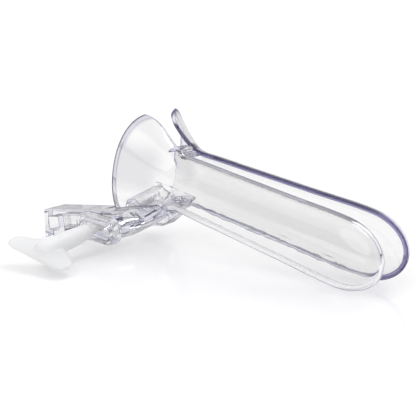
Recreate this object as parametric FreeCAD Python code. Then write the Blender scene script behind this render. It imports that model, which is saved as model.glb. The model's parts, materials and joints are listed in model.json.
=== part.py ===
import FreeCAD, Part
import math
import os

from FreeCAD import Placement, Rotation, Vector

# Two-valved examination speculum with a side screw, lying on its side as on a table.
# It is modelled upright in its own axes first and laid down at the end:
#   X runs along the valves, from the hinge towards the tips
#   Y runs across the gap between the valves, from the near valve to the far one
#   Z runs along the hinge axis, and the two arms hang on its lower side
# The hinge axis is the line X = 0, Y = 0. All lengths are millimetres, angles are degrees.

# Valves: a long shallow trough that opens into half a trumpet behind the hinge
BLADE_LENGTH = 105.0
TIP_HALF_WIDTH = 14.5
THROAT_HALF_WIDTH = 12.3
TROUGH_DEPTH = 8.2
WALL = 1.9
LIP_WALL = 1.4
RIM_OFFSET = 4.2
SECTION_FULLNESS = 0.6
TIP_ROUND_LENGTH = 20.0
TIP_ANGLES = (0, 15, 30, 42, 53, 62, 70, 77, 82.5)
BLADE_SHARES = (0.0625, 0.25, 0.5, 0.75)
FLARE_SECTIONS = 7
HALF_OPENING = 2.1
MOST_OPENING = 18.0

# Trumpet lip: where it ends beside the rims, how far back it reaches, and its spread
LIP_SIDE = 14.5
LIP_BACK = 19.5
LIP_HALF_WIDTH = 24.4
LIP_BACK_OFFSET = 22.0
FLARE_START = 4.0
FLARE_POWER = 1.45
LIP_CORNER_RADIUS = 7.0

# Hinge: cheeks on the near valve carry studs that snap into ears inside them on the far valve
CHEEK_RADIUS = 2.7
EAR_GAP = 0.12
EAR_THICKNESS = 1.9
STUD_RADIUS = 1.4
STUD_CLEARANCE = 0.05
STUD_HEAD_RADIUS = 1.75
STUD_HEAD_HEIGHT = 0.8
STUD_HEAD_GAP = 0.2
EAR_FOOT = 3.2
HINGE_OVERLAP = 0.5

# Arms: channels that leave the trumpet's side, swell outwards and then run straight back
ARM_SLOPE = 18.0
ARM_HEIGHT = 13.2
ARM_WALL = 2.0
ARM_ROOT = 1.0
ARM_ROOT_DEPTH = 4.5
ARM_SHOULDER = 7.0
ARM_SHOULDER_DROP = 6.0
ARM_STRAIGHT = 15.0
ARM_HOLLOW_START = 16.5
ARM_HEEL_DROP = 3.7
ARM_ROOT_DROP = 1.4
ARM_ROUNDING = 0.9
POCKET_ROUNDING = 0.75
LEVER_REACH = 57.6
LEVER_END_LEAN = 10.0
NUT_ARM_REACH = 31.5
NEAR_ARM_OUTER = 25.0
NEAR_ARM_DEPTH = 12.5
FAR_ARM_OUTER = 16.5
FAR_ARM_DEPTH = 8.5
WINDOW_LENGTH = 6.6
WINDOW_HEIGHT = 5.8
WINDOW_POST = 2.3
WINDOW_RISE = 0.5
CROSS_RIB_PLACE = 34.5

# Screw: a thin threaded core through the slot, a thick smooth sleeve, and a wing to turn it
SCREW_PLACE = 23.2
SCREW_DROP = 24.3
SCREW_LEAN = 8.0
CORE_RADIUS = 2.4
NUT_CLEARANCE = 0.06
NUT_RADIUS = 5.0
NUT_START = 2.0
CORE_REACH = 9.0
SLEEVE_RADIUS = 3.3
SLEEVE_LENGTH = 17.0
SHOULDER_GAP = 0.9
SHOULDER_CONE = 1.2
SLOT_CLEARANCE = 0.35
SLOT_SLOPE = 6.6
SLOT_DISTAL = 8.2
SLOT_PROXIMAL = 4.6
EYE_RIM_WIDTH = 2.8
EYE_RIM_HEIGHT = 3.6
EYE_ROUNDING = 0.8
LIP_NOTCH_GAP = 1.5

# Wing: a hub round the sleeve's end and a flat paddle with two lobes, one mirrored from the other
WING_HALF_SPAN = 17.0
WING_ROOT_HALF_SPAN = 6.0
WING_DEPTH = 15.0
WING_DIP = 0.8
WING_THICKNESS = 2.6
WING_ROUNDING = 1.1
WING_LOBE_RADIUS = 5.2
HUB_RADIUS = 5.2
HUB_CONE = 1.8
HUB_LENGTH = 8.5
HUB_ROUNDING = 2.4

# Working space for cutting tools, longer than the part is deep
FAR_AWAY = 60.0
OVERRUN = 4.0


def flare(x, reach):
    """Share of the trumpet's spread: 0 where the flare starts, 1 at the given reach behind the hinge."""
    return (max(FLARE_START - x, 0.0) / (FLARE_START + reach)) ** FLARE_POWER


def half_width(x):
    """Outer half width of a valve, along Z, at a place along X."""
    blade = (TIP_HALF_WIDTH - THROAT_HALF_WIDTH) * max(x, 0.0) / BLADE_LENGTH
    return THROAT_HALF_WIDTH + blade + (LIP_HALF_WIDTH - THROAT_HALF_WIDTH) * flare(x, LIP_SIDE)


def depth(x):
    """Outer depth of a valve, from its rims to its back, at a place along X."""
    return TROUGH_DEPTH + (LIP_BACK_OFFSET - RIM_OFFSET - TROUGH_DEPTH) * flare(x, LIP_BACK)


def slant(profile, x):
    """How much a wall that follows a profile lengthens a cut at right angles to X."""
    step = 0.5
    slope = (profile(x + step) - profile(x - step)) / (2 * step)
    return math.sqrt(1 + slope ** 2)


def wall(x):
    """Wall thickness: even along the trough, thinner towards the lip."""
    share = min(max(-x, 0.0) / LIP_BACK, 1.0)
    return WALL + (LIP_WALL - WALL) * share


def section(x, shrink, inner):
    """Closed cross-section of a valve's outside or of its hollow, in the plane at x."""
    inset = wall(x) if inner else 0.0
    width = (half_width(x) - inset * slant(half_width, x)) * shrink
    deep = (depth(x) - inset * slant(depth, x)) * shrink
    back = RIM_OFFSET + deep
    edges = []
    for side in (1, -1):
        curve = Part.BezierCurve()
        poles = [
            Vector(x, RIM_OFFSET, side * width),
            Vector(x, RIM_OFFSET + SECTION_FULLNESS * deep, side * width),
            Vector(x, back, side * width * SECTION_FULLNESS),
            Vector(x, back, 0),
        ]
        curve.setPoles(poles[::side])
        edges.append(curve.toShape())
    first = Vector(x, RIM_OFFSET, width)
    last = Vector(x, RIM_OFFSET, -width)
    if inner:
        low_last = Vector(x, 0, last.z)
        low_first = Vector(x, 0, first.z)
        edges.append(Part.LineSegment(last, low_last).toShape())
        edges.append(Part.LineSegment(low_last, low_first).toShape())
        edges.append(Part.LineSegment(low_first, first).toShape())
    else:
        edges.append(Part.LineSegment(last, first).toShape())
    return Part.Wire(edges)


def stations(inner):
    """Places of the cross-sections, with their share of full size: the tip closes as an ellipse."""
    tip_start = BLADE_LENGTH - TIP_ROUND_LENGTH
    tip_length = TIP_ROUND_LENGTH - (WALL if inner else 0.0)
    flare_end = FLARE_START + 1
    step = (LIP_BACK + flare_end) / FLARE_SECTIONS
    places = [(-LIP_BACK - OVERRUN, 1.0)]
    places += [(-LIP_BACK + step * index, 1.0) for index in range(FLARE_SECTIONS + 1)]
    places += [(flare_end + share * (tip_start - flare_end), 1.0) for share in BLADE_SHARES]
    for angle in TIP_ANGLES:
        turn = math.radians(angle)
        places.append((tip_start + tip_length * math.sin(turn), math.cos(turn)))
    return places


def prism(points, along, start, length):
    """Straight-sided solid from pairs of the other two coordinates, along Y or Z."""
    if along == "y":
        corners = [Vector(a, start, b) for a, b in points]
        travel = Vector(0, length, 0)
    else:
        corners = [Vector(a, b, start) for a, b in points]
        travel = Vector(0, 0, length)
    corners.append(corners[0])
    return Part.Face(Part.makePolygon(corners)).extrude(travel)


def lip_plane_x(y):
    """Where the trumpet's slanted lip lies along X, for a distance from the middle plane."""
    run = LIP_BACK_OFFSET - RIM_OFFSET
    return -LIP_SIDE - (LIP_BACK - LIP_SIDE) * (y - RIM_OFFSET) / run


def hollow():
    """Space inside one valve, open behind its lip."""
    return Part.makeLoft([section(x, share, True) for x, share in stations(True)], True, False)


def lip_outline():
    """Solid that holds everything in front of the slanted lip."""
    front = BLADE_LENGTH + OVERRUN
    points = [(lip_plane_x(0), 0), (lip_plane_x(FAR_AWAY), FAR_AWAY), (front, FAR_AWAY), (front, 0)]
    return prism(points, "z", -FAR_AWAY, 2 * FAR_AWAY)


def lip_top():
    """Highest point of the lip's outer edge, along Z."""
    heights = []
    steps = 20
    for index in range(steps):
        y = RIM_OFFSET + (LIP_BACK_OFFSET - RIM_OFFSET) * index / steps
        x = lip_plane_x(y)
        heights.append(half_width(x) * math.sqrt(max(1 - ((y - RIM_OFFSET) / depth(x)) ** 2, 0)))
    return max(heights)


def corner_tool(side):
    """Material outside the rounded corner between a rim and the lip."""
    radius = LIP_CORNER_RADIUS
    corner = lip_top() - radius
    size = radius + OVERRUN
    block = Part.makeBox(LIP_BACK, size, size, Vector(-LIP_BACK - 1, RIM_OFFSET - OVERRUN, corner))
    rod_start = Vector(-LIP_BACK - 2, RIM_OFFSET + radius, corner)
    rod = Part.makeCylinder(radius, LIP_BACK + 2, rod_start, Vector(1, 0, 0))
    tool = block.cut(rod)
    if side < 0:
        tool = tool.mirror(Vector(0, 0, 0), Vector(0, 0, 1))
    return tool


def valve_outside():
    """Outer form of one valve, solid, on the far side, with its rims parallel to X."""
    return Part.makeLoft([section(x, share, False) for x, share in stations(False)], True, False)


def valve_shell(outside):
    """One valve's trough and half trumpet, hollowed from its outer form."""
    shell = outside.cut(hollow()).common(lip_outline())
    return shell.cut(corner_tool(1)).cut(corner_tool(-1))


def arm_line(x):
    """Height of the arm's centre line at a place along X."""
    return -SCREW_DROP + (x + SCREW_PLACE) * math.tan(math.radians(ARM_SLOPE))


def arm_band(reach, inset):
    """Side outline of an arm as (x, z) pairs, drawn smaller by an inset."""
    rise = (ARM_HEIGHT / 2 - inset) / math.cos(math.radians(ARM_SLOPE))
    lean = math.tan(math.radians(LEVER_END_LEAN)) * 2 * rise
    root = -ARM_ROOT - inset
    end = -reach + inset
    heel = -ARM_SHOULDER
    return [
        (root, arm_line(root) + rise),
        (end, arm_line(end) + rise),
        (end + lean, arm_line(end + lean) - rise),
        (-SCREW_PLACE, arm_line(-SCREW_PLACE) - rise),
        (-ARM_STRAIGHT, arm_line(-ARM_STRAIGHT) - rise),
        (heel, -half_width(heel) - ARM_HEEL_DROP + inset),
        (root, -half_width(-ARM_ROOT) - ARM_ROOT_DROP + inset),
    ]


def arm_plan(reach, outer, arm_depth, inset):
    """Plan outline of an arm as (x, y) pairs; an inset thins it and runs it out of the open side."""
    start = RIM_OFFSET + ARM_ROUNDING / 2
    open_side = OVERRUN if inset > 0 else 0.0
    inner = outer - arm_depth - open_side
    inner_start = -ARM_STRAIGHT - OVERRUN
    return [
        (0.0, RIM_OFFSET + ARM_ROOT_DEPTH - inset),
        (-ARM_SHOULDER, outer - ARM_SHOULDER_DROP - inset),
        (-ARM_STRAIGHT, outer - inset),
        (-reach - FAR_AWAY, outer - inset),
        (-reach - FAR_AWAY, inner),
        (inner_start, inner),
        (-OVERRUN, start - open_side),
        (0.0, start - open_side),
    ]


def arm_block(reach, outer, arm_depth, inset):
    """Solid between an arm's side outline and its plan outline."""
    band = prism(arm_band(reach, inset), "y", -FAR_AWAY, 2 * FAR_AWAY)
    plan = prism(arm_plan(reach, outer, arm_depth, inset), "z", -FAR_AWAY, FAR_AWAY)
    return band.common(plan)


def arm(reach, outer, arm_depth):
    """Arm of one valve on the far side: a channel with its open side towards the middle."""
    solid = arm_block(reach, outer, arm_depth, 0)
    limit = -ARM_STRAIGHT + ARM_ROUNDING
    straight = [edge for edge in solid.Edges if all(end.Point.x < limit for end in edge.Vertexes)]
    solid = solid.makeFillet(ARM_ROUNDING, straight)
    pocket = arm_block(reach, outer, arm_depth, ARM_WALL)
    behind = Part.makeBox(2 * FAR_AWAY, 2 * FAR_AWAY, 2 * FAR_AWAY)
    behind.translate(Vector(-ARM_HOLLOW_START - 2 * FAR_AWAY, -FAR_AWAY, -FAR_AWAY))
    pocket = pocket.common(behind)
    pocket = pocket.makeFillet(POCKET_ROUNDING, pocket.Edges)
    return solid.cut(pocket)


def screw_point(y):
    """Point on the screw's axis at a distance across the gap."""
    rise = (y + NEAR_ARM_OUTER) * math.tan(math.radians(SCREW_LEAN))
    return Vector(-SCREW_PLACE, y, -SCREW_DROP + rise)


SCREW_AXIS = Vector(0, math.cos(math.radians(SCREW_LEAN)), math.sin(math.radians(SCREW_LEAN)))


def slot_bar(radius, middle, travel):
    """Round-ended bar from a middle point, as long as the screw wanders while the valves open."""
    slope = math.radians(SLOT_SLOPE)
    direction = Vector(math.cos(slope), 0, math.sin(slope))
    back = middle - direction * SLOT_PROXIMAL
    front = middle + direction * SLOT_DISTAL
    up = Vector(-math.sin(slope), 0, math.cos(slope)) * radius
    flat_low = Part.LineSegment(back - up, front - up).toShape()
    flat_high = Part.LineSegment(front + up, back + up).toShape()
    round_front = Part.Arc(front - up, front + direction * radius, front + up).toShape()
    round_back = Part.Arc(back + up, back - direction * radius, back - up).toShape()
    return Part.Face(Part.Wire([flat_low, round_front, flat_high, round_back])).extrude(travel)


def mirrored(shape):
    """The same shape on the near side of the middle plane."""
    return shape.mirror(Vector(0, 0, 0), Vector(0, 1, 0))


def opened(shape, side):
    """A valve turned from parallel rims to the slight opening it lies at."""
    return shape.rotated(Vector(0, 0, 0), Vector(0, 0, 1), side * HALF_OPENING)


def cheek_inside():
    """Distance from the middle plane to the inner faces of the near valve's cheeks, along Z."""
    return half_width(0) - WALL


def ear_inside():
    """Distance from the middle plane to the inner faces of the far valve's ears, along Z."""
    return cheek_inside() - EAR_GAP - EAR_THICKNESS


def hinge_plates(low, thickness, outside):
    """Round-ended plates from both side walls of the far valve to the hinge axis."""
    plates = None
    width = 2 * CHEEK_RADIUS
    for side in (1, -1):
        disc = Part.makeCylinder(CHEEK_RADIUS, thickness, Vector(0, 0, side * low), Vector(0, 0, side))
        base = low if side > 0 else -low - thickness
        web = Part.makeBox(width, RIM_OFFSET + WALL, thickness, Vector(-CHEEK_RADIUS, 0, base))
        foot_base = low if side > 0 else -low - FAR_AWAY
        foot_corner = Vector(-CHEEK_RADIUS, RIM_OFFSET + HINGE_OVERLAP, foot_base)
        foot = Part.makeBox(width, EAR_FOOT - HINGE_OVERLAP, FAR_AWAY, foot_corner)
        plate = disc.fuse(web).fuse(foot.common(outside))
        plates = plate if plates is None else plates.fuse(plate)
    return plates


def studs():
    """Studs that point inwards from the cheeks, each with a head that snaps behind its ear."""
    pieces = []
    head_base = ear_inside() - STUD_HEAD_GAP
    for side in (1, -1):
        inward = Vector(0, 0, -side)
        start = Vector(0, 0, side * (cheek_inside() + WALL / 2))
        stud = Part.makeCylinder(STUD_RADIUS, cheek_inside() + WALL / 2 - head_base, start, inward)
        seat = Vector(0, 0, side * head_base)
        head = Part.makeCone(STUD_HEAD_RADIUS, STUD_RADIUS - STUD_HEAD_GAP, STUD_HEAD_HEIGHT, seat, inward)
        pieces += [stud, head]
    return pieces


def ear_hole():
    """Hole for the studs, right across from one ear to the other."""
    reach = cheek_inside() - EAR_GAP / 2
    return Part.makeCylinder(STUD_RADIUS + STUD_CLEARANCE, 2 * reach, Vector(0, 0, -reach), Vector(0, 0, 1))


def far_valve(outside):
    """Far valve: trough, trumpet, ears with holes, and the short arm that holds the nut."""
    nut_length = (FAR_ARM_OUTER + NUT_START) / SCREW_AXIS.y
    nut = Part.makeCylinder(NUT_RADIUS, nut_length, screw_point(-NUT_START), SCREW_AXIS)
    bore_start = screw_point(-NUT_START) - SCREW_AXIS * OVERRUN
    bore = Part.makeCylinder(CORE_RADIUS + NUT_CLEARANCE, nut_length + 2 * OVERRUN, bore_start, SCREW_AXIS)
    nut_arm = opened(arm(NUT_ARM_REACH, FAR_ARM_OUTER, FAR_ARM_DEPTH).cut(hollow()), 1)
    body = valve_shell(outside).fuse(hinge_plates(ear_inside(), EAR_THICKNESS, outside))
    body = opened(body.cut(ear_hole()), 1)
    return body.fuse(nut_arm.fuse(nut).cut(bore)).removeSplitter()


def near_valve(outside):
    """Near valve: trough, trumpet, hinge studs, and the thumb lever with its slot and window."""
    body = valve_shell(outside).fuse(arm(LEVER_REACH, NEAR_ARM_OUTER, NEAR_ARM_DEPTH).cut(hollow()))
    body = body.fuse(hinge_plates(cheek_inside(), WALL, outside))
    body = mirrored(body).fuse(cross_rib()).fuse(window_frame()).fuse(eye())
    for piece in studs():
        body = body.fuse(piece)
    body = opened(body.cut(window_box(0)), -1)
    inner_face = -NEAR_ARM_OUTER + NEAR_ARM_DEPTH + OVERRUN
    outer_face = -NEAR_ARM_OUTER - EYE_RIM_HEIGHT - OVERRUN
    way = screw_point(outer_face) - screw_point(inner_face)
    slot = slot_bar(CORE_RADIUS + SLOT_CLEARANCE, screw_point(inner_face), way)
    return body.cut(slot).cut(lip_relief()).removeSplitter()


def eye():
    """Raised rim round the slot, square to the lever's outer face, before the valve is opened."""
    middle = screw_point(-NEAR_ARM_OUTER)
    turn = math.radians(HALF_OPENING)
    place = middle.x * math.cos(turn) - middle.y * math.sin(turn)
    start = Vector(place, -NEAR_ARM_OUTER + ARM_WALL / 2, middle.z)
    height = ARM_WALL / 2 + EYE_RIM_HEIGHT
    rim = slot_bar(CORE_RADIUS + SLOT_CLEARANCE + EYE_RIM_WIDTH, start, Vector(0, -height, 0))
    outer = start.y - height
    edges = [edge for edge in rim.Edges if all(abs(end.Point.y - outer) < 0.001 for end in edge.Vertexes)]
    return rim.makeFillet(EYE_ROUNDING, edges)


def lip_relief():
    """Notch in the near lip where the screw comes when the valves are wide open."""
    length = NEAR_ARM_OUTER - ARM_WALL - LIP_NOTCH_GAP
    notch = None
    for share in (0.6, 0.8, 1.0):
        rod = Part.makeCylinder(CORE_RADIUS + SLOT_CLEARANCE, length, screw_point(-length), SCREW_AXIS)
        rod.rotate(Vector(0, 0, 0), Vector(0, 0, 1), MOST_OPENING * share)
        notch = rod if notch is None else notch.fuse(rod)
    return notch


def window_box(grow):
    """Bar through the lever's end, grown by a wall, on the near side."""
    middle = -LEVER_REACH + WINDOW_POST + WINDOW_LENGTH / 2 + ARM_WALL
    bar = Part.makeBox(WINDOW_LENGTH + 2 * grow, 2 * FAR_AWAY, WINDOW_HEIGHT + 2 * grow)
    bar.translate(Vector(-WINDOW_LENGTH / 2 - grow, -FAR_AWAY, -WINDOW_HEIGHT / 2 - grow))
    bar.rotate(Vector(0, 0, 0), Vector(0, 1, 0), -ARM_SLOPE)
    bar.translate(Vector(middle, 0, arm_line(middle) + WINDOW_RISE))
    return bar


def window_frame():
    """Walls around the window, as deep as the lever."""
    corner = Vector(-LEVER_REACH, -NEAR_ARM_OUTER, -FAR_AWAY)
    limits = Part.makeBox(FAR_AWAY, NEAR_ARM_DEPTH, FAR_AWAY, corner)
    inside = prism(arm_band(LEVER_REACH, ARM_WALL / 2), "y", -FAR_AWAY, FAR_AWAY)
    return window_box(WINDOW_POST).common(limits).common(inside)


def cross_rib():
    """Stiffening rib across the lever's channel, between the slot and the window."""
    rib = Part.makeBox(ARM_WALL, NEAR_ARM_DEPTH - ARM_WALL, FAR_AWAY)
    rib.translate(Vector(-CROSS_RIB_PLACE, -NEAR_ARM_OUTER + ARM_WALL / 2, -FAR_AWAY))
    return rib.common(prism(arm_band(LEVER_REACH, ARM_WALL / 2), "y", -FAR_AWAY, FAR_AWAY))


def shoulder_point():
    """Place on the screw's axis where its sleeve meets the core, just off the slot's rim."""
    return screw_point(-NEAR_ARM_OUTER - EYE_RIM_HEIGHT - SHOULDER_GAP)


def screw_shank():
    """Screw core and smooth sleeve, up to where the wing's hub begins."""
    shoulder = shoulder_point()
    outward = SCREW_AXIS * -1
    core_start = shoulder + outward * SHOULDER_CONE / 2
    core_length = (core_start - screw_point(CORE_REACH)).Length
    core = Part.makeCylinder(CORE_RADIUS, core_length, core_start, SCREW_AXIS)
    cone = Part.makeCone(CORE_RADIUS, SLEEVE_RADIUS, SHOULDER_CONE, shoulder, outward)
    sleeve_start = shoulder + outward * SHOULDER_CONE
    sleeve = Part.makeCylinder(SLEEVE_RADIUS, SLEEVE_LENGTH - SHOULDER_CONE, sleeve_start, outward)
    return core.fuse(cone).fuse(sleeve).removeSplitter()


def wing_outline():
    """Flat outline of the wing in its own plane: (along X, outward) with rounded lobes."""
    radius = WING_LOBE_RADIUS
    lobe_middle = WING_DEPTH - radius * 1.05
    low = (WING_HALF_SPAN - radius, lobe_middle - radius * 1.05)
    outer = (WING_HALF_SPAN - radius * 0.015, lobe_middle)
    high = (WING_HALF_SPAN - radius * 1.2, WING_DEPTH)
    edges = []
    for side in (1, -1):
        root, start, middle, end = [
            Vector(side * along, out, 0) for along, out in ((WING_ROOT_HALF_SPAN, 0), low, outer, high)
        ]
        edges.append(Part.LineSegment(root, start).toShape())
        edges.append(Part.Arc(start, middle, end).toShape())
    dip = Vector(0, WING_DEPTH - WING_DIP, 0)
    edges.append(Part.Arc(Vector(high[0], WING_DEPTH, 0), dip, Vector(-high[0], WING_DEPTH, 0)).toShape())
    root_ends = [Vector(side * WING_ROOT_HALF_SPAN, 0, 0) for side in (-1, 1)]
    edges.append(Part.LineSegment(*root_ends).toShape())
    return Part.Wire(Part.__sortEdges__(edges))


def wing_grip():
    """Wing of the screw: a hub and a flat two-lobed paddle in line with the axis."""
    plate = Part.Face(wing_outline()).extrude(Vector(0, 0, WING_THICKNESS))
    plate.translate(Vector(0, 0, -WING_THICKNESS / 2))
    plate = plate.makeFillet(WING_ROUNDING, plate.Edges)
    cone = Part.makeCone(SLEEVE_RADIUS, HUB_RADIUS, HUB_CONE, Vector(0, 0, 0), Vector(0, 1, 0))
    hub = Part.makeCylinder(HUB_RADIUS, HUB_LENGTH, Vector(0, HUB_CONE, 0), Vector(0, 1, 0))
    end = HUB_CONE + HUB_LENGTH
    rims = [edge for edge in hub.Edges if min(corner.Point.y for corner in edge.Vertexes) > end - 0.001]
    hub = hub.makeFillet(HUB_ROUNDING, rims)
    grip = plate.fuse(cone).fuse(hub).removeSplitter()
    outward = SCREW_AXIS * -1
    turn = Rotation(Vector(0, 1, 0), outward)
    grip.Placement = Placement(shoulder_point() + outward * SLEEVE_LENGTH, turn).multiply(grip.Placement)
    return grip


def lowest(points, pitch):
    """Height of the lowest of some points once the part is tipped about Y."""
    turn = math.radians(pitch)
    return min(point.z * math.cos(turn) - point.x * math.sin(turn) for point in points)


def lying_pitch(tip_part, wing):
    """Angle that brings the valve tips and the wing down on the same table."""
    tip_points = tip_part.tessellate(0.05)[0]
    wing_points = wing.tessellate(0.05)[0]
    low = 0.0
    high = 20.0
    for _ in range(20):
        middle = (low + high) / 2
        if lowest(wing_points, middle) < lowest(tip_points, middle):
            low = middle
        else:
            high = middle
    return (low + high) / 2


def build():
    """All pieces, laid down on the table with the underside's middle at the origin."""
    outside = valve_outside()
    parts = {
        "far_valve": far_valve(outside),
        "near_valve": near_valve(outside),
        "screw_shank": screw_shank(),
        "wing_grip": wing_grip(),
    }
    half = BLADE_LENGTH / 2
    tip_block = Part.makeBox(FAR_AWAY + half, 2 * FAR_AWAY, 2 * FAR_AWAY, Vector(half, -FAR_AWAY, -FAR_AWAY))
    pitch = lying_pitch(parts["far_valve"].common(tip_block), parts["wing_grip"])
    for name in parts:
        parts[name] = parts[name].rotated(Vector(0, 0, 0), Vector(0, 1, 0), pitch)
    box = Part.makeCompound(list(parts.values())).optimalBoundingBox(True, False)
    drop = Vector(-(box.XMin + box.XMax) / 2, -(box.YMin + box.YMax) / 2, -box.ZMin)
    for name in parts:
        parts[name] = parts[name].translated(drop)
    print("pitch", round(pitch, 4), "drop", drop, "size", box.XLength, box.YLength, box.ZLength)
    return parts


def main():
    os.makedirs("parts", exist_ok=True)
    for name, shape in build().items():
        print(name, shape.isValid(), len(shape.Solids), round(shape.Volume, 1), len(shape.Faces))
        shape.exportStep("parts/" + name + ".step")


main()
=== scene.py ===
# %% [markdown]
# # A clear two-valved speculum with a white side screw
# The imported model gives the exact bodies, already in metres and in place. This lesson dresses them: clear
# plastic for the two valves, milky plastic for the screw, and a bright table-top studio around them.

import bpy
import json
import math
from mathutils import Matrix, Vector


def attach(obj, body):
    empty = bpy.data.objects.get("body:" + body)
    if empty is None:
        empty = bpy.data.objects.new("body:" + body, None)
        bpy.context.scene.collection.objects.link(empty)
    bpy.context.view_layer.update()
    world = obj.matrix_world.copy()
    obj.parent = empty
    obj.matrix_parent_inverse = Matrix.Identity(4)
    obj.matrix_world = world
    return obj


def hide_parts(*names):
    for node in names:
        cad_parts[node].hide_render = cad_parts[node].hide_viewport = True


MM = 0.001

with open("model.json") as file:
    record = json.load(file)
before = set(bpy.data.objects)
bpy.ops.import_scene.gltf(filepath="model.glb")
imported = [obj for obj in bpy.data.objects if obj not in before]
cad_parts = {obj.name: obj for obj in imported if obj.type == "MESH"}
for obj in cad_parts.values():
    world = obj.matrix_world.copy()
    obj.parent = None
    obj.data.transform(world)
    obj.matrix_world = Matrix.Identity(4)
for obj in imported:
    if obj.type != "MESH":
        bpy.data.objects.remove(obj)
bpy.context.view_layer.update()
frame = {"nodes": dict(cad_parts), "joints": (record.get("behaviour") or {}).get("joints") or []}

# %% [markdown]
# ## Directions
# The speculum lies tilted on the table, so straight up is no useful direction on it. Its own directions
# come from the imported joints: the valves turn about one line, which stands ten degrees off upright, and
# the screw turns about another. The planes of the valves' rims and the place of the screw are worked out
# from them below.

# %% Directions of the speculum
joints = {joint["name"]: joint for joint in frame["joints"]}
HINGE_PLACE = Vector(joints["valve_opening"]["pos_m"])
HINGE_WAY = Vector(joints["valve_opening"]["axis"])
SCREW_OUTWARD = -Vector(joints["wing_turn"]["axis"])
SCREW_END = Vector(joints["wing_turn"]["pos_m"])

ACROSS_WAY = Vector((0.0, 1.0, 0.0))
TOP_WAY = -HINGE_WAY
TIP_WAY = HINGE_WAY.cross(ACROSS_WAY)
print("towards the tips", [round(value, 3) for value in TIP_WAY])

# %% [markdown]
# ## The camera
# The view was matched to the photograph with a 100 mm lens about half a metre away, low over the table, so
# that the valves run away to the right. The middle angle is the small roll of a hand-held camera. The
# camera is made first, because every later choice is judged through it.

# %% Camera
CAMERA_PLACE = (0.29395, -0.32744, 0.13724)
CAMERA_TURN = (75.75, 1.08, 40.625)
LENS = 99.95

camera_data = bpy.data.cameras.new("studio_camera")
camera_data.lens = LENS
camera = bpy.data.objects.new("studio_camera", camera_data)
bpy.context.scene.collection.objects.link(camera)
camera.location = CAMERA_PLACE
camera.rotation_euler = [math.radians(angle) for angle in CAMERA_TURN]
bpy.context.scene.camera = camera
print("camera distance in mm", round(Vector(CAMERA_PLACE).length / MM))


# %% [markdown]
# ## Colours and nodes
# Colours are written as the hex values a painter would pick on a screen. Blender works in linear light, so
# one function turns them round. A second small function adds a shader node, sets its values and makes its
# links.

# %% Helpers for materials
def colour(text):
    """Linear colour with alpha from an sRGB hex value."""
    linear = []
    for start in (0, 2, 4):
        value = int(text[start:start + 2], 16) / 255
        linear.append(value / 12.92 if value <= 0.04045 else ((value + 0.055) / 1.055) ** 2.4)
    return (*linear, 1.0)


def add(tree, kind, values=None, links=None, **settings):
    """Adds a node, with its settings, its socket values and its links, and gives it back."""
    node = tree.nodes.new(kind)
    for name, setting in settings.items():
        setattr(node, name, setting)
    for name, value in (values or {}).items():
        node.inputs[name].default_value = value
    for name, source in (links or {}).items():
        tree.links.new(source, node.inputs[name])
    return node


def new_material(name):
    """Empty material and its node tree."""
    material = bpy.data.materials.new(name)
    material.use_nodes = True
    material.node_tree.nodes.clear()
    return material, material.node_tree


def wear(thing, material):
    """Gives an object one material."""
    thing.data.materials.clear()
    thing.data.materials.append(material)


# %% [markdown]
# ## Clear moulded polystyrene
# The valves are crystal polystyrene, the plastic of clear cups: it bends light a little more than window
# glass does, and it is as smooth as its polished mould. Makers add a trace of violet, so that it looks
# bright and not yellow. A glass shader bends and mirrors the light, and the surface takes off a little
# each time it is crossed, so that two walls look darker than one. An absorbing inside turns a long way
# through the plastic violet.
#
# What the eye reads as clear plastic is mostly its edges, where it bends and mirrors darker surroundings.
# That shade is painted on in three ways in the next cells: a darker tone on the flat rims and lips, which
# is also the plastic's violet seen through its depth, a thin painted shade line at each sharp corner, and a
# dark painted outline where a wall turns away. Each is a share from 0 to 1, and most of them are bands
# along a direction of the speculum.

# %% Bands along a direction
def band(tree, place, way, start, end):
    """Share that rises from 0 at one place along a way to 1 at another, both in metres."""
    along = add(tree, "ShaderNodeVectorMath", {1: way}, {0: place.outputs["Object"]},
                operation="DOT_PRODUCT")
    share = add(tree, "ShaderNodeMapRange", {"From Min": start, "From Max": end},
                {"Value": along.outputs["Value"]}, interpolation_type="SMOOTHSTEP")
    return share.outputs["Result"]


def combined(tree, first, second, operation):
    """One share from two by a sum that the operation names, never under 0 or over 1."""
    both = add(tree, "ShaderNodeMath", {}, {0: first, 1: second}, operation=operation, use_clamp=True)
    return both.outputs["Value"]


def painted(tree, share, below, above):
    """Colour that turns from one, a colour or another node's, to a colour of its own with a share."""
    linked = {"Factor": share}
    fixed = {"B": colour(above)}
    if isinstance(below, str):
        fixed["A"] = colour(below)
    else:
        linked["A"] = below
    return add(tree, "ShaderNodeMix", fixed, linked, data_type="RGBA").outputs["Result"]


# %% [markdown]
# ### Tone of the wall, with painted shade
# The wall is almost white. A belt of the trumpet-shaped mouth is painted greyer, painted shade for the
# light that it bends aside more than the blades do. A flat rim or lip is found by its distance from the
# plane that all of it lies in. The rims are painted darker on the open upper side and round the tips,
# partly the plastic's violet seen through its depth and partly painted shade; the lower ones lie on other
# plastic and stay pale. Their outermost line is the darkest, a line of painted shade, and it rises by 2.2
# mm over the
# 105 mm of a blade.

# %% Tone of the wall, with painted shade
WALL_TONE = "F7F7F6"
# Painted shade: the grey of the mouth's belt.
MOUTH_SHADE_TONE = "E0E0E1"
UPPER_BAND = (0.0212, 0.0252)
TIP_BAND = (0.0625, 0.0685)
BLADE_BAND = (-0.0340, -0.0240)
MOUTH_FOOT = (0.0170, 0.0260)
MOUTH_CROWN = (0.0350, 0.0440)
OUTER_BAND = (0.0388, 0.0393)
EDGE_RISE = 2.2 / 105.0
OUTER_WAY = TOP_WAY - TIP_WAY * EDGE_RISE


def plane_share(tree, place, way, start, deep):
    """1 in the plane at a place along a way, and 0 further from it than the given depth."""
    reached = band(tree, place, way, start - deep, start - deep / 3)
    passed = band(tree, place, way, start + deep / 3, start + deep)
    return combined(tree, reached, passed, "SUBTRACT")


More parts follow.
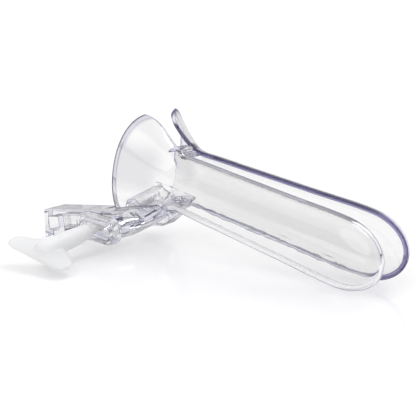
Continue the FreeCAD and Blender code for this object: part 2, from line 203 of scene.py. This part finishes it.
def wall_colour(tree, place, blade, planes, rim_tint_and_shade, shade_line_tone):
    """Colour of a valve's surface, with painted shade on its mouth, its rims tinted and shaded, and the
    painted shade line outside them.
    """
    # Painted shade: a greyer belt round the mouth, between its foot and its crown, off the blades.
    foot = band(tree, place, TOP_WAY, *MOUTH_FOOT)
    crown = band(tree, place, TOP_WAY, *MOUTH_CROWN)
    belt = combined(tree, foot, crown, "SUBTRACT")
    mouth_shade = combined(tree, belt, blade, "SUBTRACT")
    on_plane = [plane_share(tree, place, *plane) for plane in planes]
    on_rim = combined(tree, *on_plane, "MAXIMUM")
    upper = band(tree, place, TOP_WAY, *UPPER_BAND)
    tip = band(tree, place, TIP_WAY, *TIP_BAND)
    open_side = combined(tree, upper, tip, "MAXIMUM")
    # Painted rim tone: the plastic's violet seen through its depth, and painted shade, on the open upper
    # side and round the tips.
    rim = combined(tree, on_rim, open_side, "MULTIPLY")
    # Painted shade: the darkest line, along the outermost edge of the rims.
    outside = band(tree, place, OUTER_WAY, *OUTER_BAND)
    shade_line = combined(tree, outside, rim, "MULTIPLY")
    wall = painted(tree, mouth_shade, WALL_TONE, MOUTH_SHADE_TONE)
    rimmed = painted(tree, rim, wall, rim_tint_and_shade)
    return painted(tree, shade_line, rimmed, shade_line_tone)


# %% [markdown]
# ### Painted shade: corner lines and outlines
# A bevel node gives the normal that a corner would have if it were rounded, so where that normal departs
# from the flat one, there is a corner, and a dark line of painted shade is drawn there. A layer weight node
# tells how far a surface is turned from the line of sight, and a dark painted outline is drawn where it
# turns far. The blades are long smooth shells that need a broad outline, and the arms have edges enough of
# their own.

# %% Painted shade: corner lines and outlines
CORNER_WIDTH = 0.7 * MM
CORNER_SAMPLES = 4
CORNER_AGREEMENT = (0.99, 0.90)
# Painted shade: the tone of the dark line at each sharp corner.
CORNER_SHADE_TONE = "3A3850"
ARM_TURN = 0.80
BLADE_TURN = 0.70
OUTLINE_SHADE_SHARE = 0.95
# Painted shade: the tone of the dark outline where a wall turns away.
OUTLINE_SHADE_TONE = "5C5C68"


def corner_shade_share(tree):
    """Share of the painted shade line: 1 at a sharp corner and 0 on a smooth face."""
    rounded = add(tree, "ShaderNodeBevel", {"Radius": CORNER_WIDTH}, samples=CORNER_SAMPLES)
    flat = add(tree, "ShaderNodeNewGeometry")
    agreement = add(tree, "ShaderNodeVectorMath", {}, {
        0: rounded.outputs["Normal"],
        1: flat.outputs["True Normal"],
    }, operation="DOT_PRODUCT")
    smooth, sharp = CORNER_AGREEMENT
    share = add(tree, "ShaderNodeMapRange", {"From Min": smooth, "From Max": sharp},
                {"Value": agreement.outputs["Value"]})
    return share.outputs["Result"]


def outline_shade_share(tree, blade):
    """Share of the dark painted outline, which starts earlier on the blades than on the arms."""
    turned = add(tree, "ShaderNodeLayerWeight", {"Blend": 0.5})
    first_turn = add(tree, "ShaderNodeMath", {1: BLADE_TURN - ARM_TURN, 2: ARM_TURN}, {0: blade},
                     operation="MULTIPLY_ADD")
    share = add(tree, "ShaderNodeMapRange", {"From Max": 1.0, "To Max": OUTLINE_SHADE_SHARE}, {
        "Value": turned.outputs["Facing"],
        "From Min": first_turn.outputs["Value"],
    }, interpolation_type="SMOOTHSTEP")
    return share.outputs["Result"]


# %% [markdown]
# ### The whole plastic
# Two kinds of ray don't bend. One on its way to a lamp goes straight through, because a real wall passes
# lamp light on and throws only a pale shadow. One that has been mirrored or bent many times inside would
# end black when its turns are used up, so it leaves by a straight way just before.

# %% Clear plastic
POLYSTYRENE_IOR = 1.59
POLISH = 0.03
TINT = "9A90D6"
LAMP_TONE = "E4E4E5"
WAY_OUT_TONE = "F4F4F8"
MOST_MIRRORED = 2.5
MOST_BOUNCES = 8.5


def mixed(tree, share, first, second):
    """Shader that turns from one to another with a share."""
    return add(tree, "ShaderNodeMixShader", {}, {0: share, 1: first, 2: second}).outputs["Shader"]


def straight_through(tree, tone):
    """Shader that a ray crosses without bending."""
    return add(tree, "ShaderNodeBsdfTransparent", {"Color": colour(tone)}).outputs["BSDF"]


def spent_share(tree, path):
    """1 for a ray that has few turns left."""
    mirrored = add(tree, "ShaderNodeMath", {1: MOST_MIRRORED}, {0: path.outputs["Glossy Depth"]},
                   operation="GREATER_THAN")
    bounced = add(tree, "ShaderNodeMath", {1: MOST_BOUNCES}, {0: path.outputs["Ray Depth"]},
                  operation="GREATER_THAN")
    return combined(tree, mirrored.outputs["Value"], bounced.outputs["Value"], "MAXIMUM")


def clear_polystyrene(name, tint_density, rim_tint_and_shade, shade_line_tone, planes):
    """Clear plastic, darker on the flat rims that lie in the given planes, with the plastic's violet and
    painted shade.
    """
    material, tree = new_material(name)
    place = add(tree, "ShaderNodeTexCoord")
    path = add(tree, "ShaderNodeLightPath")
    blade = band(tree, place, TIP_WAY, *BLADE_BAND)
    wall = wall_colour(tree, place, blade, planes, rim_tint_and_shade, shade_line_tone)
    # Painted shade: a dark line at every sharp corner.
    tone = painted(tree, corner_shade_share(tree), wall, CORNER_SHADE_TONE)
    glass = add(tree, "ShaderNodeBsdfPrincipled", {
        "Roughness": POLISH,
        "IOR": POLYSTYRENE_IOR,
        "Transmission Weight": 1.0,
    }, {"Base Color": tone}).outputs["BSDF"]
    # Painted shade: a dark see-through tone where a wall turns away from the line of sight.
    shade_outlined = mixed(tree, outline_shade_share(tree, blade), glass, straight_through(tree, OUTLINE_SHADE_TONE))
    body = mixed(tree, spent_share(tree, path), shade_outlined, straight_through(tree, WAY_OUT_TONE))
    whole = mixed(tree, path.outputs["Is Shadow Ray"], body, straight_through(tree, LAMP_TONE))
    tint = add(tree, "ShaderNodeVolumeAbsorption", {"Color": colour(TINT), "Density": tint_density})
    add(tree, "ShaderNodeOutputMaterial", {}, {"Surface": whole, "Volume": tint.outputs["Volume"]})
    return material


# %% [markdown]
# ### The two valves
# They are the same plastic. The far one is seen along its rim, through far more of it, and its tint is the
# stronger; its copy also carries far darker painted shade on its rims and outer line. Each plane is given
# by its angle from the way to the tips, which each valve turns to its own side, by its distance from the
# hinge, and by how far its tint reaches into the wall.

# %% Dress the valves
FAR = 1
NEAR = -1
RIM_ANGLE = 92.1
RIM_OFFSET = 4.2 * MM
LIP_ANGLE = 17.79
LIP_OFFSET = -12.824 * MM


def valve_plane(side, angle, offset, deep):
    """Way, place and depth of a plane on one side's valve."""
    turn = math.radians(angle)
    way = TIP_WAY * math.cos(turn) + side * math.sin(turn) * ACROSS_WAY
    return way, way.dot(HINGE_PLACE) + offset, deep


far_rim = valve_plane(FAR, RIM_ANGLE, RIM_OFFSET, 0.7 * MM)
far_lip = valve_plane(FAR, LIP_ANGLE, LIP_OFFSET, 1.8 * MM)
near_rim = valve_plane(NEAR, RIM_ANGLE, RIM_OFFSET, 0.7 * MM)
near_lip = valve_plane(NEAR, LIP_ANGLE, LIP_OFFSET, 0.9 * MM)
# The far copy's rim tone is violet tint and dark painted shade, its outer line near-black painted shade;
# the near copy's are pale.
far_plastic = clear_polystyrene("clear_polystyrene_far", 9.0, "7F76B0", "221D38", (far_rim, far_lip))
near_plastic = clear_polystyrene("clear_polystyrene_near", 7.0, "DDDBE6", "D2D0DC", (near_rim, near_lip))
wear(frame["nodes"]["far_valve"], far_plastic)
wear(frame["nodes"]["near_valve"], near_plastic)
print("clear plastic on two valves")

# %% [markdown]
# ## Milky polypropylene
# The screw is polypropylene without a pigment to speak of: white, waxy and a little see-through, so light
# that enters a thin edge comes out again nearby. The mould leaves it satin, with a faint unevenness, about
# 7 mm wide, where the plastic cooled at different speeds. The grain of the mould is finer than half a
# millimetre, and it is drawn as bumps that only soften the shine.

# %% White plastic
CLOUD_TONES = ("ECEDEE", "F5F5F5")
CLOUD_SCALE = 140.0
GRAIN_SCALE = 2600.0
GRAIN_DEPTH = 0.2 * MM
MILK_REACH = (12 * MM, 12 * MM, 12.5 * MM)

milky_plastic, tree = new_material("milky_polypropylene")
place = add(tree, "ShaderNodeTexCoord").outputs["Object"]
cloud = add(tree, "ShaderNodeTexNoise", {"Scale": CLOUD_SCALE, "Detail": 2.0}, {"Vector": place})
shade = painted(tree, cloud.outputs["Fac"], *CLOUD_TONES)
grain = add(tree, "ShaderNodeTexNoise", {"Scale": GRAIN_SCALE, "Detail": 3.0}, {"Vector": place})
satin = add(tree, "ShaderNodeBump", {"Strength": 0.08, "Distance": GRAIN_DEPTH},
            {"Height": grain.outputs["Fac"]})
milk = add(tree, "ShaderNodeBsdfPrincipled", {
    "Roughness": 0.42,
    "IOR": 1.49,
    "Subsurface Weight": 1.0,
    "Subsurface Radius": MILK_REACH,
    "Subsurface Scale": 1.0,
}, {"Base Color": shade, "Normal": satin.outputs["Normal"]})
add(tree, "ShaderNodeOutputMaterial", {}, {"Surface": milk.outputs["BSDF"]})
print("white plastic", milky_plastic.name)


# %% [markdown]
# ## The screw
# The real screw is one soft-edged moulding: a threaded core that runs in the far arm, a smooth sleeve, a
# hub and a wing with two lobes. It is modelled standing up, with its axis along Z and the place where the
# sleeve meets the core at the origin, and laid in its place at the end. Each form starts as a primitive,
# is shaped in edit mode, and then all are melted into one skin, which gives the soft blends of a moulding.

# %% Helpers for modelling
def only(thing):
    """Makes one object the only one selected, and the active one."""
    bpy.ops.object.select_all(action="DESELECT")
    thing.select_set(True)
    bpy.context.view_layer.objects.active = thing


def choose_faces(thing, test):
    """Selects the faces whose middle and normal pass a test, and goes into edit mode."""
    bpy.ops.object.mode_set(mode="EDIT")
    bpy.ops.mesh.select_mode(type="FACE")
    bpy.ops.mesh.select_all(action="DESELECT")
    bpy.ops.object.mode_set(mode="OBJECT")
    for face in thing.data.polygons:
        face.select = test(face.center / MM, face.normal)
    bpy.ops.object.mode_set(mode="EDIT")


def finish_modifier(thing, kind, **settings):
    """Adds a modifier with its settings and applies it."""
    only(thing)
    modifier = thing.modifiers.new(kind.lower(), kind)
    for name, setting in settings.items():
        setattr(modifier, name, setting)
    bpy.ops.object.modifier_apply(modifier=modifier.name)


def tell_box(title, thing):
    """Prints an object's lowest and highest corners in millimetres."""
    for name, choose in (("low", min), ("high", max)):
        corner = [choose(point.co[axis] for point in thing.data.vertices) for axis in range(3)]
        print(title, name, [round(value / MM, 2) for value in corner])


# %% [markdown]
# ## Threaded core
# A coarse thread is a short zigzag line swept round the axis while it climbs. The line is drawn point by
# point by extruding one vertex: root, flank, crest, flank and root again, each step outwards and upwards.
# The Screw modifier sweeps it, and two flat cuts then square off the ends.

# %% Thread
THREAD_LEAD = 5.0
THREAD_TURNS = 9
THREAD_STEPS = 32
ROOT_RADIUS = 1.85
CREST_RADIUS = 2.35
CORE_LENGTH = 38.7
CORE_OVERLAP = 1.0
FLANK = CREST_RADIUS - ROOT_RADIUS
PROFILE_STEPS = ((0.0, 1.5), (FLANK, 0.7), (0.0, 1.1), (-FLANK, 0.7), (0.0, 1.0))

bpy.ops.object.select_all(action="DESELECT")
bpy.ops.mesh.primitive_plane_add(size=MM)
core = bpy.context.object
core.name = "screw_core"
bpy.ops.object.mode_set(mode="EDIT")
bpy.ops.mesh.merge(type="CENTER")
bpy.ops.transform.translate(value=(ROOT_RADIUS * MM, 0, -(CORE_LENGTH + THREAD_LEAD) * MM))
bpy.ops.mesh.select_mode(type="VERT")
for outward, climb in PROFILE_STEPS:
    bpy.ops.mesh.extrude_region_move(TRANSFORM_OT_translate={"value": (outward * MM, 0, climb * MM)})
bpy.ops.object.mode_set(mode="OBJECT")
finish_modifier(core, "SCREW", axis="Z", screw_offset=THREAD_LEAD * MM, iterations=THREAD_TURNS,
                steps=THREAD_STEPS, render_steps=THREAD_STEPS,
                use_merge_vertices=True, merge_threshold=MM / 100)
bpy.ops.object.mode_set(mode="EDIT")
for height, upper in ((-CORE_LENGTH, False), (CORE_OVERLAP, True)):
    bpy.ops.mesh.select_all(action="SELECT")
    bpy.ops.mesh.bisect(plane_co=(0, 0, height * MM), plane_no=(0, 0, 1), use_fill=True,
                        clear_inner=not upper, clear_outer=upper)
bpy.ops.mesh.select_all(action="SELECT")
bpy.ops.mesh.normals_make_consistent(inside=False)
bpy.ops.object.mode_set(mode="OBJECT")
print("thread with", THREAD_TURNS, "turns swept,", len(core.data.polygons), "faces")

# %% [markdown]
# ## Sleeve and hub
# The sleeve is a thick smooth rod that swells a little towards the hub, the wider part that the fingers'
# force goes through. A cylinder is extruded on at its outer end, each new ring made wider or narrower, to
# give the draft, the hub and its dome. At the inner end an inset face is pushed out to make the cone of
# the shoulder.

# %% Sleeve and hub
SLEEVE_RADIUS = 3.3
SLEEVE_LENGTH = 17.0
SHOULDER = 1.2
SHOULDER_CONE = 0.9
DRAFT_STEPS = ((3.0, 1.11), (5.8, 1.07), (5.0, 1.03))
HUB_STEPS = ((1.6, 1.11), (2.4, 1.09), (3.6, 1.0), (1.5, 0.88), (0.8, 0.72))

bpy.ops.object.select_all(action="DESELECT")
straight = SLEEVE_LENGTH - SHOULDER - sum(climb for climb, grow in DRAFT_STEPS)
bpy.ops.mesh.primitive_cylinder_add(vertices=48, radius=SLEEVE_RADIUS * MM, depth=straight * MM,
                                    location=(0, 0, (SHOULDER + straight / 2) * MM))
sleeve = bpy.context.object
sleeve.name = "screw_sleeve"
bpy.ops.object.transform_apply(location=True)
choose_faces(sleeve, lambda middle, normal: normal.z > 0.9)
for climb, grow in DRAFT_STEPS + HUB_STEPS:
    bpy.ops.mesh.extrude_region_move(TRANSFORM_OT_translate={"value": (0, 0, climb * MM)})
    bpy.ops.transform.resize(value=(grow, grow, 1))
bpy.ops.object.mode_set(mode="OBJECT")
choose_faces(sleeve, lambda middle, normal: normal.z < -0.9)
bpy.ops.mesh.inset(thickness=SHOULDER_CONE * MM)
bpy.ops.transform.translate(value=(0, 0, -SHOULDER * MM))
bpy.ops.object.mode_set(mode="OBJECT")
print("sleeve and hub with", len(sleeve.data.polygons), "faces")

# %% [markdown]
# ## Wing
# A block in the middle is extruded to both sides in three steps. Each step moves the end face out and up
# and scales its thickness and its height, which draws the waist and the broad lobe, and a subdivision
# surface rounds the whole like a pillow.

# %% Wing
WING_BLOCK = (5.0, 3.0, 15.4)
WING_MIDDLE = 7.2
WING_STEPS = ((5.0, 0.5, 1.0, 0.9), (5.6, 1.8, 1.05, 0.8), (4.5, 0.0, 0.9, 0.52))

bpy.ops.object.select_all(action="DESELECT")
bpy.ops.mesh.primitive_cube_add(size=MM, location=(0, 0, (SLEEVE_LENGTH + WING_MIDDLE) * MM))
wing = bpy.context.object
wing.name = "screw_wing"
wing.scale = WING_BLOCK
bpy.ops.object.transform_apply(location=True, scale=True)
for side in (1, -1):
    choose_faces(wing, lambda middle, normal: normal.x * side > 0.9)
    for out, climb, thicker, taller in WING_STEPS:
        bpy.ops.mesh.extrude_region_move(TRANSFORM_OT_translate={"value": (side * out * MM, 0, climb * MM)})
        bpy.ops.transform.resize(value=(1, thicker, taller))
    bpy.ops.object.mode_set(mode="OBJECT")
finish_modifier(wing, "SUBSURF", levels=3, render_levels=3)
tell_box("wing in mm", wing)

# %% [markdown]
# ## One moulding
# The three forms are joined and remeshed into one closed skin, finely enough to keep the thread, and a few
# rounds of smoothing soften the joins. Then the screw is laid along its axis, in the place of the two CAD
# bodies that it stands for, and it rides with the wing, because the whole screw turns.

# %% Join, melt and place the screw
SKIN_GRAIN = 0.22
SKIN_SMOOTHING = 5

bpy.ops.object.select_all(action="DESELECT")
for form in (core, sleeve, wing):
    form.select_set(True)
bpy.context.view_layer.objects.active = sleeve
bpy.ops.object.join()
screw = bpy.context.object
screw.name = "white_screw"
finish_modifier(screw, "REMESH", mode="VOXEL", voxel_size=SKIN_GRAIN * MM)
finish_modifier(screw, "SMOOTH", factor=0.5, iterations=SKIN_SMOOTHING)
bpy.ops.object.shade_smooth()
seat = SCREW_END - SCREW_OUTWARD * SLEEVE_LENGTH * MM
turned = Matrix((TIP_WAY, SCREW_OUTWARD.cross(TIP_WAY), SCREW_OUTWARD)).transposed().to_4x4()
screw.matrix_world = Matrix.Translation(seat) @ turned
bpy.ops.object.transform_apply(location=True, rotation=True, scale=True)
wear(screw, milky_plastic)
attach(screw, "wing")
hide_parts("screw_shank", "wing_grip")
tell_box("screw in mm", screw)

# %% [markdown]
# ## The table
# A large white sheet with a faint gloss lies under the part. The camera, and rays that come through the
# plastic or off it, see it a little brighter than the lamps make it, which burns it out as in a catalogue
# picture and leaves only the soft shadow and a weak mirror image of the part.

# %% Floor
FLOOR_SIZE = 6.0
FLOOR_GLOW = 0.17
FLOOR_TONE = "F2F2F2"

bpy.ops.object.select_all(action="DESELECT")
bpy.ops.mesh.primitive_plane_add(size=FLOOR_SIZE, location=(0, 0, 0))
floor = bpy.context.object
floor.name = "studio_floor"
table_sheet, tree = new_material("white_acrylic_sheet")
path = add(tree, "ShaderNodeLightPath").outputs
off_it = combined(tree, path["Is Camera Ray"], path["Is Glossy Ray"], "MAXIMUM")
looked_at = combined(tree, off_it, path["Is Transmission Ray"], "MAXIMUM")
glow = add(tree, "ShaderNodeMath", {1: FLOOR_GLOW}, {0: looked_at}, operation="MULTIPLY")
sheet = add(tree, "ShaderNodeBsdfPrincipled", {
    "Base Color": colour(FLOOR_TONE),
    "Roughness": 0.16,
    "IOR": 1.38,
    "Emission Color": colour("FFFFFF"),
}, {"Emission Strength": glow.outputs["Value"]})
add(tree, "ShaderNodeOutputMaterial", {}, {"Surface": sheet.outputs["BSDF"]})
wear(floor, table_sheet)
print("floor", FLOOR_SIZE, "m across")

# %% [markdown]
# ## Light
# A bright surround lights the part evenly from the sides and from behind, as a light tent does. The side
# of the room behind the camera is darker, and clear plastic needs that: its edges show only by what they
# bend and mirror. Matt surfaces are lit by one even white instead, and the camera itself sees plain white.
# Two broad, far lamps give the soft shadow.

# %% Surround
BACKDROP_WAY = (-0.60, 0.70, 0.38)
ROOM_TONES = ("7A7C86", "FFFFFF")
EVEN_TONE = "F0F0F2"
SURROUND_STRENGTH = 0.80

world = bpy.data.worlds.new("studio_surround")
bpy.context.scene.world = world
world.use_nodes = True
tree = world.node_tree
tree.nodes.clear()
where = add(tree, "ShaderNodeTexCoord")
facing = add(tree, "ShaderNodeVectorMath", {1: BACKDROP_WAY}, {0: where.outputs["Generated"]},
             operation="DOT_PRODUCT")
share = add(tree, "ShaderNodeMapRange", {"From Min": -0.25, "From Max": 0.50},
            {"Value": facing.outputs["Value"]}, interpolation_type="SMOOTHSTEP")
room = painted(tree, share.outputs["Result"], *ROOM_TONES)
path = add(tree, "ShaderNodeLightPath").outputs
lit = painted(tree, path["Is Diffuse Ray"], room, EVEN_TONE)
surround = add(tree, "ShaderNodeBackground", {"Strength": SURROUND_STRENGTH}, {"Color": lit})
plain_white = add(tree, "ShaderNodeBackground", {"Color": colour("FFFFFF"), "Strength": 1.0})
seen = mixed(tree, path["Is Camera Ray"], surround.outputs["Background"], plain_white.outputs["Background"])
add(tree, "ShaderNodeOutputWorld", {}, {"Surface": seen})
print("surround", world.name)


# %% Lamps
def broad_lamp(name, place, strength, spread):
    """Far soft lamp that shines from a place towards the part, its spread in degrees."""
    data = bpy.data.lights.new(name, "SUN")
    data.energy = strength
    data.angle = math.radians(spread)
    lamp = bpy.data.objects.new(name, data)
    bpy.context.scene.collection.objects.link(lamp)
    lamp.location = place
    lamp.rotation_euler = (-Vector(place)).to_track_quat("-Z", "Y").to_euler()
    return lamp


broad_lamp("key_lamp", (0.15, 0.60, 1.0), 0.80, 35)
broad_lamp("fill_lamp", (0.15, -0.90, 0.60), 0.65, 60)
print("two lamps")

# %% [markdown]
# ## Finish
# The colours are shown as they are, without a film look.

# %% Finish
bpy.context.scene.view_settings.view_transform = "Standard"
bpy.context.view_layer.update()
